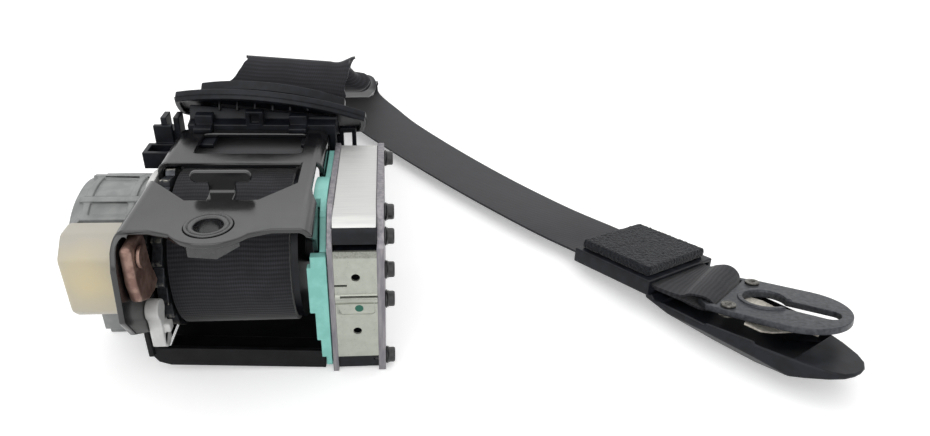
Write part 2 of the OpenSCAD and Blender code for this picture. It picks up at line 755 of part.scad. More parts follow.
module keyhole_plate() color(dark_col) {
  key_frame() translate([0, 0, -key_t / 2]) linear_extrude(key_t) difference() {
    union() {
      polygon([[-7, -16], [-1.5, -21.2], [10, -key_half], [33, -key_half], [33, key_half], [10, key_half],
        [-1.5, 21.2], [-7, 16]]);
      translate([33, 0]) circle(key_half);
    }
    translate([-1.5, -loop_w / 2 - 0.6]) square([4, loop_w + 1.2]);
    translate([18.5, 0]) circle(key_r);
    translate([18.5, -key_slot]) square([27.5, 2 * key_slot]);
    translate([46, 0]) circle(key_slot);
    for (y = [-17, 17]) translate([7.5, y]) circle(2.2);
  }
  key_frame() translate([18.5, 0, key_t / 2 - 0.5]) linear_extrude(1.4) difference() {
    circle(key_r + 2.4);
    circle(key_r + 0.3);
    translate([0, -key_slot - 0.3]) square([20, 2 * key_slot + 0.6]);
  }
}

module plate_rivets() color(leaf_col) {
  key_frame() for (y = [-17, 17]) translate([7.5, y, 0]) difference() {
    union() {
      translate([0, 0, -key_t / 2 - 2]) cylinder(r = 2.15, h = key_t + 2);
      translate([0, 0, key_t / 2]) cylinder(r = 3.4, h = 1.2);
      translate([0, 0, -key_t / 2 - 2]) cylinder(r = 3.4, h = 1.2);
    }
    translate([0, 0, key_t / 2 + 0.4]) cylinder(r = 1.5, h = 2, $fn = 6);
  }
}

// leaf that keeps the stud in the slot
module lock_spring() color(leaf_col) {
  k = key_t / 2;
  key_frame() {
    difference() {
      translate([4.5, -20.5, -k - 0.8]) cube([6, 41, 0.8]);
      for (y = [-17, 17]) translate([7.5, y, -k - 2]) cylinder(r = 2.2, h = 4);
    }
    difference() {
      intersection() {
        rotate([90, 0, 0]) translate([0, 0, -30]) linear_extrude(60)
          polygon([[10.5, -k], [10.5, -k - 0.8], [16, -k - 1.1], [28, -k - 4.6], [44, -k - 6], [44, -k - 5.2],
            [28, -k - 3.8], [16, -k - 0.3]]);
        translate([0, 0, -20]) linear_extrude(30) polygon([[10, -6.5], [15, -6.5], [17, -key_half - 1], [24, -key_half],
          [36, -9], [38, -6.5], [45, -6.5], [45, 6.5], [10, 6.5]]);
      }
      translate([37, -1.8, -20]) cube([4, 3.6, 30]);
    }
  }
}

module cover_plan(g) {
  side = [[42, 24 - g], [58, 25 - g], [75, 26 - g], [100, 23 - g], [119, 17 - g], [127, 13 - g],
    [131.5 - g, 9 - g], [133.5 - g, 4.5 - g], [134 - g, 0]];
  polygon(concat(side, [for (i = [len(side) - 2 : -1 : 0]) [side[i][0], -side[i][1]]]));
}

module cover_section(g) {
  polygon([[g - 28, -5], [28 - g, -5], [28 - g, g - 15], [14 - g, g - 26.2], [g - 14, g - 26.2],
    [g - 28, g - 15]]);
}

// boat-shaped cover under the plate, cut from its three outlines
module end_cover() color(black_col) {
  fitting() {
    difference() {
      intersection() {
        translate([0, 0, -30]) linear_extrude(40) cover_plan(0);
        rotate([90, 0, 0]) translate([0, 0, -40]) linear_extrude(80)
          polygon([[42, -15], [42, sleeve_z0], [45.5, sleeve_z0], [47, -14], [76, -13.6], [76, -12.8],
            [98, -12.2], [98, -13.2], [134, -15.4], [134, -17], [112, -23], [97, -25.9], [78, -23.6], [60, -18.5]]);
        along_x(40, 140) cover_section(0);
      }
      intersection() {
        translate([0, 0, -30]) linear_extrude(40) cover_plan(2);
        rotate([90, 0, 0]) translate([0, 0, -40]) linear_extrude(80)
          polygon([[50, -16], [50, 0], [113, 0], [113, -19], [97, -23.6], [78, -21.4], [61, -16.8]]);
        along_x(40, 140) cover_section(2);
      }
    }
  }
}

frame();
anchor_nut();
lower_strap();
bearing_plate();
inner_plate();
tensioner_block();
tensioner_core();
cover_sheet();
outer_plate();
tensioner_bolts();
gas_generators();
drive_rotor();
mechanism_base();
spring_housing();
spring_cover();
return_spring();
spring_arbor();
sensor_cover();
sensor_cage();
sensor_ball();
sensor_lever();
pawl_carrier();
locking_pawl();
pawl_pin();
belt_guide();
bezel();
side_clip();
side_eyelet();
spool();
torsion_bar();
ratchet_wheel();
webbing_roll();
webbing_lead();
webbing_free();
webbing_end();
end_sleeve();
felt_pad();
keyhole_plate();
plate_rivets();
lock_spring();
end_cover();
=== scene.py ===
import bpy
import json
import math
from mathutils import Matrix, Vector

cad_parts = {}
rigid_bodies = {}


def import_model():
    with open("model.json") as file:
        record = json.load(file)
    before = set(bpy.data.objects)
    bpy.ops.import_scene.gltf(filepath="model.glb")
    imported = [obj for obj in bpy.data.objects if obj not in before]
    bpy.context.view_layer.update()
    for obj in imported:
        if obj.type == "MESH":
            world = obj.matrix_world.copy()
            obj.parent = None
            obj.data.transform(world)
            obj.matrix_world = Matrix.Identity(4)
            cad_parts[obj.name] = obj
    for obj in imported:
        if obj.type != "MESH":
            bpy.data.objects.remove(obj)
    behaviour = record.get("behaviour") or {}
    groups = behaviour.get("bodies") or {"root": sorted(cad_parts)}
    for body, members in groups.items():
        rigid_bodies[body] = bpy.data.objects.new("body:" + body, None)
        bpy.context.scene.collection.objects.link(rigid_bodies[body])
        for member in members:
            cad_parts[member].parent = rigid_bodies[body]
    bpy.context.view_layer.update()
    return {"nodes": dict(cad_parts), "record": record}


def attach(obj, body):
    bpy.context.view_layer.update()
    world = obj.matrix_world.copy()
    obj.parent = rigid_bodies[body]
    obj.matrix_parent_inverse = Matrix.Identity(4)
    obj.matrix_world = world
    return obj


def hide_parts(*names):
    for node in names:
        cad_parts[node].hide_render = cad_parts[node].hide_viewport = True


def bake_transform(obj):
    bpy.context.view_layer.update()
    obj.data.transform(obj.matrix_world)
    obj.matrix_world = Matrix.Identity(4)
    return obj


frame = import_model()
nodes = frame["nodes"]
mm = 0.001
print("frame loaded:", len(nodes), "nodes")


# colours are written as sRGB hex and turned to linear here
def colour(hexText):
    parts = [int(hexText[i:i + 2], 16) / 255 for i in (1, 3, 5)]
    return [c / 12.92 if c <= 0.04045 else ((c + 0.055) / 1.055) ** 2.4 for c in parts] + [1]


# adds a node, sets its fields, and fills or links its sockets
def addNode(tree, kind, sockets=None, **fields):
    node = tree.nodes.new(kind)
    for name, value in fields.items():
        setattr(node, name, value)
    for name, value in (sockets or {}).items():
        if isinstance(value, bpy.types.NodeSocket):
            tree.links.new(value, node.inputs[name])
        else:
            node.inputs[name].default_value = value
    return node


def newFinish(name, hexText, roughness, metallic=0.0, **sockets):
    material = bpy.data.materials.new(name)
    material.use_nodes = True
    tree = material.node_tree
    shader = tree.nodes["Principled BSDF"]
    shader.inputs["Base Color"].default_value = colour(hexText)
    shader.inputs["Roughness"].default_value = roughness
    shader.inputs["Metallic"].default_value = metallic
    for socket, value in sockets.items():
        shader.inputs[socket].default_value = value
    place = tree.nodes.new("ShaderNodeTexCoord").outputs["Object"]
    return material, tree, shader, place


def mathNode(tree, operation, *values):
    return addNode(tree, "ShaderNodeMath", dict(enumerate(values)), operation=operation).outputs["Value"]


# a noise of a given size in mm
def noiseOf(tree, place, size, detail):
    return addNode(tree, "ShaderNodeTexNoise", {"Vector": place, "Scale": 1 / (size * mm),
                                                "Detail": detail}).outputs["Fac"]


def toneRamp(tree, factor, dark, light, low, high):
    ramp = addNode(tree, "ShaderNodeValToRGB", {"Fac": factor})
    ramp.color_ramp.elements[0].position = low
    ramp.color_ramp.elements[1].position = high
    ramp.color_ramp.elements[0].color = colour(dark)
    ramp.color_ramp.elements[1].color = colour(light)
    return ramp.outputs["Color"]


# lays a tone over a colour where the factor is 1
def overlay(tree, below, factor, tone):
    mix = addNode(tree, "ShaderNodeMix", {"Factor": factor}, data_type="RGBA")
    tree.links.new(below, mix.inputs[6])
    mix.inputs[7].default_value = colour(tone)
    return mix.outputs[2]


# two tones mixed by a noise of a given size in mm
def mottle(tree, place, shader, dark, light, size, low=0.4, high=0.6, detail=4.0):
    noise = noiseOf(tree, place, size, detail)
    tone = toneRamp(tree, noise, dark, light, low, high)
    tree.links.new(tone, shader.inputs["Base Color"])
    return noise, tone


# roughness between two values, from a noise of a given size in mm
def varyRoughness(tree, place, shader, low, high, size):
    noise = noiseOf(tree, place, size, 3.0)
    span = addNode(tree, "ShaderNodeMapRange", {"Value": noise, "From Min": 0.3, "From Max": 0.7,
                                                "To Min": low, "To Max": high})
    tree.links.new(span.outputs["Result"], shader.inputs["Roughness"])


# fine surface relief, from a noise of a given size in mm
def grain(tree, place, shader, size, height, strength=0.5):
    noise = noiseOf(tree, place, size, 3.0)
    bump = addNode(tree, "ShaderNodeBump", {"Height": noise, "Distance": height * mm, "Strength": strength})
    tree.links.new(bump.outputs["Normal"], shader.inputs["Normal"])


def coatedSteel():
    # e-coated pressed steel: smooth glossy black with light rubs
    material, tree, shader, place = newFinish("e-coat black", "#131315", 0.18)
    shader.inputs["Specular IOR Level"].default_value = 0.75
    mottle(tree, place, shader, "#0d0d0f", "#161618", 9, 0.35, 0.75)
    varyRoughness(tree, place, shader, 0.14, 0.21, 6)
    return material


def phosphatedSteel():
    # coated nut: dark grey and smooth, a little duller than the plate
    material, tree, shader, place = newFinish("coated nut steel", "#1c1c1e", 0.24)
    shader.inputs["Specular IOR Level"].default_value = 0.75
    mottle(tree, place, shader, "#17171a", "#242427", 2.5)
    varyRoughness(tree, place, shader, 0.18, 0.3, 2)
    return material


def moulded(name, dark, light, roughness, size=5, **sockets):
    material, tree, shader, place = newFinish(name, dark, roughness, 0.0, **sockets)
    mottle(tree, place, shader, dark, light, size)
    grain(tree, place, shader, 0.4, 0.015, 0.3)
    return material


def rolledSteel(name, dark, light, low, high, metallic=0.9):
    # rolled plate: faint streaks along Z and patchy shine
    material, tree, shader, place = newFinish(name, dark, low, metallic)
    stretch = addNode(tree, "ShaderNodeMapping", {"Vector": place, "Scale": (1, 1, 0.12)})
    mottle(tree, stretch.outputs["Vector"], shader, dark, light, 1.5)
    varyRoughness(tree, place, shader, low, high, 4)
    grain(tree, stretch.outputs["Vector"], shader, 0.35, 0.015)
    return material


def extrudedAluminium():
    # extruded block: faint draw lines along X, bright and soft
    material, tree, shader, place = newFinish("extruded aluminium", "#bfbfbc", 0.42, 0.85)
    stretch = addNode(tree, "ShaderNodeMapping", {"Vector": place, "Scale": (0.05, 1, 1)})
    mottle(tree, stretch.outputs["Vector"], shader, "#bababa", "#c6c6c3", 0.7, 0.3, 0.7)
    varyRoughness(tree, stretch.outputs["Vector"], shader, 0.38, 0.46, 0.7)
    return material


paintDot = dict(at=(51.0, 8.2, -44.8), radius=1.7, tone="#285f50")
grime = dict(speck=0.5, speckTone="#5d5c54", bandFoot=-20.6, bandBlur=0.3, bandTone="#2f2d2a")


def galvanisedSheet():
    # galvanised sheet: pale spangle and specks, a grimy top edge and one dab of green paint
    material, tree, shader, place = newFinish("galvanised sheet", "#b2b5aa", 0.38, 0.55)
    tone = mottle(tree, place, shader, "#a3a69c", "#b0b3a9", 3, 0.3, 0.7)[1]
    specks = noiseOf(tree, place, grime["speck"], 2.0)
    spot = addNode(tree, "ShaderNodeMapRange", {"Value": specks, "From Min": 0.64, "From Max": 0.74,
                                                "To Max": 0.45})
    tone = overlay(tree, tone, spot.outputs["Result"], grime["speckTone"])
    height = addNode(tree, "ShaderNodeSeparateXYZ", {"Vector": place}).outputs["Z"]
    band = addNode(tree, "ShaderNodeMapRange", {"Value": height, "To Max": 0.75,
                                                "From Min": (grime["bandFoot"] - grime["bandBlur"]) * mm,
                                                "From Max": (grime["bandFoot"] + grime["bandBlur"]) * mm})
    dirt = mathNode(tree, "MULTIPLY", band.outputs["Result"], specks)
    tone = overlay(tree, tone, dirt, grime["bandTone"])
    at = addNode(tree, "ShaderNodeCombineXYZ", {i: c * mm for i, c in enumerate(paintDot["at"])})
    reach = addNode(tree, "ShaderNodeVectorMath", {0: place, 1: at.outputs["Vector"]}, operation="DISTANCE")
    inside = mathNode(tree, "LESS_THAN", reach.outputs["Value"], paintDot["radius"] * mm)
    tree.links.new(overlay(tree, tone, inside, paintDot["tone"]), shader.inputs["Base Color"])
    varyRoughness(tree, place, shader, 0.32, 0.5, 3)
    return material


milky = dict(cloud=12, drift=9, near=8, far=22, heart="#d6c9a6", shell="#bdb8ac")


def clearIvory():
    # milky polypropylene: light passes a little way in, yellower over the mechanism inside
    material, tree, shader, place = newFinish("milky polypropylene", "#b5ac9b", 0.36)
    shader.inputs["Subsurface Weight"].default_value = 0.45
    shader.inputs["Subsurface Radius"].default_value = (0.004, 0.0034, 0.0024)
    shader.inputs["Transmission Weight"].default_value = 0.12
    corners = [Vector(c) for c in nodes["sensor_cover"].bound_box]
    low, high = ([pick(c[i] for c in corners) for i in range(3)] for pick in (min, max))
    heart = addNode(tree, "ShaderNodeCombineXYZ", {"X": (low[0] + high[0]) / 2, "Y": low[1],
                                                   "Z": (low[2] + high[2]) / 2})
    reach = addNode(tree, "ShaderNodeVectorMath", {0: place, 1: heart.outputs["Vector"]},
                    operation="DISTANCE")
    cloud = noiseOf(tree, place, milky["cloud"], 1.0)
    shift = mathNode(tree, "MULTIPLY_ADD", cloud, milky["drift"] * mm, reach.outputs["Value"])
    depth = addNode(tree, "ShaderNodeMapRange", {"Value": shift, "From Min": milky["near"] * mm,
                                                 "From Max": milky["far"] * mm})
    mix = addNode(tree, "ShaderNodeMix", {"Factor": depth.outputs["Result"]}, data_type="RGBA")
    mix.inputs[6].default_value = colour(milky["heart"])
    mix.inputs[7].default_value = colour(milky["shell"])
    tree.links.new(mix.outputs[2], shader.inputs["Base Color"])
    grain(tree, place, shader, 0.6, 0.01, 0.3)
    return material


def copperCoat():
    # copper-coloured plating on a sintered pawl
    material, tree, shader, place = newFinish("copper plating", "#84695f", 0.4, 0.6)
    mottle(tree, place, shader, "#775c53", "#957a6f", 3)
    varyRoughness(tree, place, shader, 0.3, 0.5, 2)
    grain(tree, place, shader, 0.4, 0.02)
    return material


# painted highlight: a pale ring where the ratchet's tooth tips catch the light
toothGlint = dict(y=51.0, z=-39.5, radius=34.9, blur=0.7, tone="#a5a29a")


def glintedDarkSteel():
    # dark plated steel, with a painted highlight on the ratchet's tooth tips, in patches and on one side only
    material, tree, shader, place = newFinish("dark steel with painted tooth highlights", "#3e4044", 0.4, 0.7)
    noise, tone = mottle(tree, place, shader, "#34363a", "#505256", 1.6, 0.3, 0.75, 6.0)
    split = addNode(tree, "ShaderNodeSeparateXYZ", {"Vector": place})
    flat = addNode(tree, "ShaderNodeCombineXYZ", {"Y": split.outputs["Y"], "Z": split.outputs["Z"]})
    axis = addNode(tree, "ShaderNodeCombineXYZ", {"Y": toothGlint["y"] * mm, "Z": toothGlint["z"] * mm})
    reach = addNode(tree, "ShaderNodeVectorMath", {0: flat.outputs["Vector"], 1: axis.outputs["Vector"]},
                    operation="DISTANCE")
    tip = addNode(tree, "ShaderNodeMapRange", {"Value": reach.outputs["Value"],
                                               "From Min": toothGlint["radius"] * mm,
                                               "From Max": (toothGlint["radius"] + toothGlint["blur"]) * mm})
    spoolSide = mathNode(tree, "LESS_THAN", split.outputs["X"], 0.0)
    patchy = addNode(tree, "ShaderNodeMapRange", {"Value": noise, "From Min": 0.42, "From Max": 0.6})
    # the painted highlight on the tooth tips, broken into patches and kept to one side
    glintPatches = mathNode(tree, "MULTIPLY", tip.outputs["Result"], patchy.outputs["Result"])
    paintedGlint = mathNode(tree, "MULTIPLY", glintPatches, spoolSide)
    tree.links.new(overlay(tree, tone, paintedGlint, toothGlint["tone"]), shader.inputs["Base Color"])
    varyRoughness(tree, place, shader, 0.34, 0.5, 2)
    grain(tree, place, shader, 0.5, 0.02)
    return material


weave = dict(rib=1.9, slant=0.05, yarn=0.95, yarnShare=0.6, panels=5, width=47.0, relief=0.24, fuzz=90.0)


def polyesterWeave(name, dark, light, strength):
    # woven polyester webbing: ribs across it, slanted a little in panels, drawn about twice as coarse to show
    material, tree, shader = newFinish(name, dark, 0.7)[:3]
    shader.inputs["Specular IOR Level"].default_value = 0.14
    shader.inputs["Sheen Weight"].default_value = 0.4
    shader.inputs["Sheen Roughness"].default_value = 0.4
    lay = tree.nodes.new("ShaderNodeUVMap").outputs["UV"]
    split = addNode(tree, "ShaderNodeSeparateXYZ", {"Vector": lay})
    along, across = split.outputs["X"], split.outputs["Y"]
    zig = mathNode(tree, "PINGPONG", across, weave["width"] / weave["panels"] * mm)
    slant = mathNode(tree, "MULTIPLY_ADD", zig, weave["slant"], along)
    ribs = mathNode(tree, "MULTIPLY", slant, 2 * math.pi / (weave["rib"] * mm))
    yarn = mathNode(tree, "MULTIPLY", across, 2 * math.pi / (weave["yarn"] * mm))
    cloth = mathNode(tree, "MULTIPLY_ADD", mathNode(tree, "SINE", yarn), weave["yarnShare"],
                     mathNode(tree, "SINE", ribs))
    most = 1 + weave["yarnShare"]
    level = addNode(tree, "ShaderNodeMapRange", {"Value": cloth, "From Min": -most,
                                                 "From Max": most}).outputs["Result"]
    fuzz = addNode(tree, "ShaderNodeTexNoise", {"Vector": lay, "Scale": weave["fuzz"], "Detail": 3.0})
    tone = mathNode(tree, "MULTIPLY", level, fuzz.outputs["Fac"])
    tree.links.new(toneRamp(tree, tone, dark, light, 0.05, 0.6), shader.inputs["Base Color"])
    bump = addNode(tree, "ShaderNodeBump", {"Height": level, "Strength": strength,
                                            "Distance": weave["relief"] * mm})
    tree.links.new(bump.outputs["Normal"], shader.inputs["Normal"])
    return material


def needledFelt():
    # needled felt: matted fibres in every direction
    material, tree, shader, place = newFinish("needled felt", "#14151a", 0.95)
    shader.inputs["Specular IOR Level"].default_value = 0.1
    shader.inputs["Sheen Weight"].default_value = 0.25
    shader.inputs["Sheen Roughness"].default_value = 0.5
    mottle(tree, place, shader, "#08090c", "#26282f", 0.7, 0.35, 0.72, 8.0)
    grain(tree, place, shader, 0.7, 0.4, 0.9)
    return material


finishes = {
    "frame_black": coatedSteel(),
    "nut_black": phosphatedSteel(),
    "webbing_weave": polyesterWeave("polyester webbing", "#1d1d20", "#37373c", 0.35),
    "teal_plastic": moulded("turquoise acetal", "#7abbb1", "#85c6bc", 0.42),
    "side_steel": rolledSteel("rolled steel", "#77747a", "#8c898c", 0.35, 0.5),
    "bright_aluminium": extrudedAluminium(),
    "zinc_sheet": galvanisedSheet(),
    "bolt_black": moulded("black oxide steel", "#161517", "#232124", 0.32, 2),
    "grey_plastic": moulded("grey nylon", "#7e8080", "#8b8d8c", 0.45),
    "clear_ivory": clearIvory(),
    "copper_coat": copperCoat(),
    "white_plastic": moulded("white acetal", "#c5c5c3", "#d2d2d0", 0.4),
    "black_plastic": moulded("black polypropylene", "#0f1014", "#181a20", 0.4,
                             **{"Specular IOR Level": 0.22}),
    "dark_steel": glintedDarkSteel(),
    "felt_black": needledFelt(),
    "spring_steel": rolledSteel("bright spring steel", "#c4bfb4", "#d8d3c8", 0.28, 0.42, 0.35),
}
for part in frame["record"]["subparts"]:
    slots = nodes[part["node"]].data.materials
    slots.clear()
    slots.append(finishes[part["material_slot"]])
nodes["pawl_pin"].data.materials[0] = finishes["copper_coat"]
nodes["plate_rivets"].data.materials[0] = rolledSteel("dull rivet steel", "#5b5955", "#7b7974", 0.4, 0.55)
# painted shade: the lower strap gets a darker, less glossy copy of the frame's e-coat for the shade it lies
# in
nodes["lower_strap"].data.materials[0] = moulded("e-coat with painted shade", "#0b0b0d", "#121214", 0.45, 6,
                                                 **{"Specular IOR Level": 0.15})
print("finishes:", len(finishes))


# smooth points through a route, each point a list of numbers
def smoothRoute(route, steps):
    found = []
    for i in range(len(route) - 1):
        a, b, c, d = (route[min(max(i + k, 0), len(route) - 1)] for k in (-1, 0, 1, 2))
        for k in range(steps + (i == len(route) - 2)):
            t = k / steps
            found.append([0.5 * (2 * q + (r - p) * t + (2 * p - 5 * q + 4 * r - s) * t * t
                                 + (3 * q - p - 3 * r + s) * t ** 3) for p, q, r, s in zip(a, b, c, d)])
    return found


# a woven strip along stations of centre and width direction, with its length and width as the UV map
def wovenStrip(name, stations, width, thick, columns, finish, shape=None):
    count = len(stations)
    points = []
    lengths = [0.0]
    for i, s in enumerate(stations):
        if i:
            lengths.append(lengths[-1] + (Vector(s[:3]) - Vector(stations[i - 1][:3])).length * mm)
    for i, s in enumerate(stations):
        centre = Vector(s[:3])
        ahead = Vector(stations[min(i + 1, count - 1)][:3]) - Vector(stations[max(i - 1, 0)][:3])
        across = Vector(s[3:6]).normalized()
        normal = ahead.normalized().cross(across)
        across = across / normal.length
        normal.normalize()
        for k in range(columns + 1):
            v = 2 * k / columns - 1
            inward, lift = shape(lengths[i] / mm, v) if shape else (0.0, 0.0)
            reach = v * width * (s[6] if len(s) > 6 else 1) / 2 + inward
            points.append((centre + across * reach + normal * lift) * mm)
    row = columns + 1
    faces = [(i * row + k, i * row + k + 1, (i + 1) * row + k + 1, (i + 1) * row + k)
             for i in range(count - 1) for k in range(columns)]
    mesh = bpy.data.meshes.new(name)
    mesh.from_pydata(points, [], faces)
    layer = mesh.uv_layers.new(name="weave")
    for loop in mesh.loops:
        i, k = divmod(loop.vertex_index, row)
        layer.data[loop.index].uv = (lengths[i], k / columns * width * mm)
    piece = bpy.data.objects.new(name, mesh)
    bpy.context.scene.collection.objects.link(piece)
    mesh.materials.append(finish)
    finishModifiers(piece, [("SOLIDIFY", dict(thickness=thick * mm, offset=0.0))])
    shadeSmooth(piece, 40)
    return piece, lengths[-1]


def onlySelect(piece):
    bpy.ops.object.select_all(action="DESELECT")
    piece.select_set(True)
    bpy.context.view_layer.objects.active = piece


def finishModifiers(piece, steps):
    onlySelect(piece)
    for kind, fields in steps:
        modifier = piece.modifiers.new(kind.title(), kind)
        for field, value in fields.items():
            setattr(modifier, field, value)
        bpy.ops.object.modifier_apply(modifier=modifier.name)


def shadeSmooth(piece, degrees):
    onlySelect(piece)
    bpy.ops.object.shade_smooth_by_angle(angle=math.radians(degrees))


floorZ = -78.0
belt = dict(width=47.0, thick=1.2, steps=8, columns=48)
fitting = dict(at=Vector((185.0, 93.0, floorZ + 15.7)), turn=(-7.0, -7.0, -57.0))


# turns a direction of the end fitting into the part's frame
def fitWay(v):
    x, y, z = v
    a, b, c = (math.radians(t) for t in fitting["turn"])
    y, z = y * math.cos(a) - z * math.sin(a), y * math.sin(a) + z * math.cos(a)
    x, z = x * math.cos(b) + z * math.sin(b), z * math.cos(b) - x * math.sin(b)
    return Vector((x * math.cos(c) - y * math.sin(c), x * math.sin(c) + y * math.cos(c), z))


# where a point of the end fitting lies in the part's frame
def fitPoint(v):
    return fitting["at"] + fitWay(v)


def fitStation(x, z):
    return [*fitPoint((x, 0, z)), *fitWay((0, 1, 0))]


# the belt from the roll, through the bezel, back to its fold and along the ground to the sleeve
beltRoute = [
    [0, 56.0, -4.0, 1, 0, 0],
    [1, 72, -6.3, 1, 0, 0],
    [4, 86, -8.3, 1, 0, -0.03],
    [6, 93.5, -7, 1, 0, -0.06],
    [7.5, 98.5, -1.5, 1, 0, -0.1],
    [9, 103, 4, 1, 0, -0.105],
    [11.5, 105.8, 8.4, 1, 0, -0.1],
    [15.5, 107.6, 13, 1, 0, -0.08],
    [18.5, 109.8, 18, 1, 0, -0.06],
    [20.5, 112.6, 21.8, 1, 0, -0.06],
    [21.5, 116.5, 23.2, 1, 0, -0.06],
    [23.5, 119.3, 19.2, 1, 0, -0.04],
    [26.5, 121, 13.6, 1, 0, -0.02],
    [30, 123, 8.4, 1, 0, 0],
    [34, 126.5, 4.6, 1, 0, 0],
    [36, 133, 1.5, 1, 0.02, 0],
    [33, 155, -5, 1, 0.04, 0],
    [28, 200, floorZ + 52, 1, 0.06, 0],
    [28, 250, floorZ + 34, 1, 0.1, 0],
    [29, 295, floorZ + 18, 1, 0.2, 0],
    [30, 325, floorZ + 13.6, 1, 0.3, 0],
    [31, 338, floorZ + 11.6, 1, 0.31, 0],
    [32, 343, floorZ + 7, 1, 0.31, 0],
    [33, 338.5, floorZ + 2.4, 1, 0.32, 0],
    [38, 325, floorZ + 1.2, 1, 0.4, 0],
    [49, 300, floorZ + 1.9, 0.9, 0.5, -0.03],
    [65, 265, floorZ + 3.2, 0.84, 0.54, -0.08],
    [94, 216, floorZ + 4, 0.82, 0.57, -0.12],
    [124, 171, floorZ + 4.4, 0.82, 0.57, -0.14],
    [154, 130, floorZ + 5.2, 0.83, 0.55, -0.14],
    fitStation(-16, -8.5),
    fitStation(-2.9, -8.5)]
# the right edge past the bezel: a raised pleat, folded in behind, that ends in a loose curl
pleat = dict(start=58.0, top=75.0, ease=82.0, end=90.0, inner=0.56, ridge=0.95, height=2.4)
curl = dict(start=80.0, full=93.0, ease=108.0, end=140.0, flat=0.5, radius=4.6)


def easedShare(length, start, full, ease, end):
    rise = min(max((length - start) / (full - start), 0), 1)
    fall = min(max((end - length) / (end - ease), 0), 1)
    share = min(rise, fall)
    return share * share * (3 - 2 * share)


# how far a point of the belt moves inward along its width and towards its inner side
def beltEdge(length, v):
    inward, lift = 0.0, 0.0
    raised = easedShare(length, pleat["start"], pleat["top"], pleat["ease"], pleat["end"])
    if v > pleat["inner"]:
        climb = min((v - pleat["inner"]) / (pleat["ridge"] - pleat["inner"]), 1)
        lift -= pleat["height"] * raised * (climb * climb - 0.9 * climb * (1 - climb))
    curled = easedShare(length, curl["start"], curl["full"], curl["ease"], curl["end"])
    if curled > 0.02 and v > curl["flat"]:
        spread = (v - curl["flat"]) * belt["width"] / 2
        radius = curl["radius"] / curled
        inward += radius * math.sin(spread / radius) - spread
        lift -= radius * (1 - math.cos(spread / radius))
    return inward, lift


stations = smoothRoute(beltRoute, belt["steps"])
# painted light: the strap's webbing is a lighter copy of the roll's and loop's webbing, for the light it
# catches; its weave relief is also shallower
strap, strapLength = wovenStrip("belt_strap", stations, belt["width"], belt["thick"], belt["columns"],
                                polyesterWeave("drawn-out webbing", "#262629", "#35353a", 0.12), beltEdge)
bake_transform(strap)
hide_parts("webbing_lead", "webbing_free")
print("belt strap, m:", round(strapLength, 3))

keyPlate = dict(at=Vector((67.0, 4.0, -9.5)), yaw=12.0, tilt=6.0)


# where a point of the keyhole plate lies in the end fitting
def keyInFit(v):
    x, y, z = v
    b, c = math.radians(-keyPlate["tilt"]), math.radians(keyPlate["yaw"])
    x, z = x * math.cos(b) + z * math.sin(b), z * math.cos(b) - x * math.sin(b)
    return keyPlate["at"] + Vector((x * math.cos(c) - y * math.sin(c), x * math.sin(c) + y * math.cos(c), z))


# the belt's end: through the sleeve, over the plate's rear bar, through its slot and back below
loopSleeve = [(-2.6, -8.5), (12, -8.5), (28, -8.4), (40, -8.1)]
loopBar = [(-15, 3.0, 0.05), (-10.5, 4.6, 0.1), (-6, 5.4, 0.12), (-2.2, 4.8, 0.1), (0.4, 2.6, 0.06),
           (0.8, -0.6, 0), (-0.9, -2.5, 0), (-5, -2.9, 0), (-10, -2.0, 0), (-15, 0.4, 0)]
# shares of the belt's width at the loop's mouth, round the bar and at its tail
loopShape = dict(mouth=0.86, bar=0.77, tail=0.96, tailAt=(43, 0, -9.2), thick=1.0, columns=24, steps=6)


def beltLoop():
    route = [[*fitPoint((x, 0, z)), *fitWay((0, 1, 0)), 1.0] for x, z in loopSleeve]
    side = keyInFit((0, 1, 0)) - keyPlate["at"]
    for i, (x, z, tilt) in enumerate(loopBar):
        narrow = loopShape["mouth" if i in (0, len(loopBar) - 1) else "bar"]
        route.append([*fitPoint(keyInFit((x, 0, z))), *fitWay(side + Vector((0, 0, tilt))), narrow])
    route.append([*fitPoint(loopShape["tailAt"]), *fitWay((0, 1, 0)), loopShape["tail"]])
    return wovenStrip("belt_loop", smoothRoute(route, loopShape["steps"]), belt["width"], loopShape["thick"],
                      loopShape["columns"], finishes["webbing_weave"])


loop, loopLength = beltLoop()
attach(loop, "fitting_body")
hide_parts("webbing_end")
print("belt loop, m:", round(loopLength, 3))

roll = dict(centre=(51.0, -39.5), inner=16.1, outer=34.4, inset=0.6, gap=0.02, endAngle=82, turnSteps=72,
            columns=12)


# the wound belt as one spiral strip
def woundRoll():
    turns = (roll["outer"] - roll["inner"]) / (belt["thick"] + roll["gap"])
    count = int(turns * roll["turnSteps"])
    y, z = roll["centre"]
    path = []
    for i in range(count + 1):
        angle = 2 * math.pi * i / roll["turnSteps"] - 2 * math.pi * turns + math.radians(roll["endAngle"])
        radius = roll["inner"] + roll["inset"] + (roll["outer"] - roll["inset"] - roll["inner"]) * i / count
        path.append([0, y + radius * math.cos(angle), z + radius * math.sin(angle), 1, 0, 0])
    return wovenStrip("belt_roll", path, belt["width"], belt["thick"], roll["columns"],
                      finishes["webbing_weave"])


wound, woundLength = woundRoll()
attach(wound, "spool_body")
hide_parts("webbing_roll")
print("belt roll, m:", round(woundLength, 3))

pad = dict(low=(-1, -24, -4.6), high=(42, 24, 0.6), edge=1.4, voxel=0.5, tuft=1.0, tuftHeight=0.9,
           tuftMiddle=0.75)


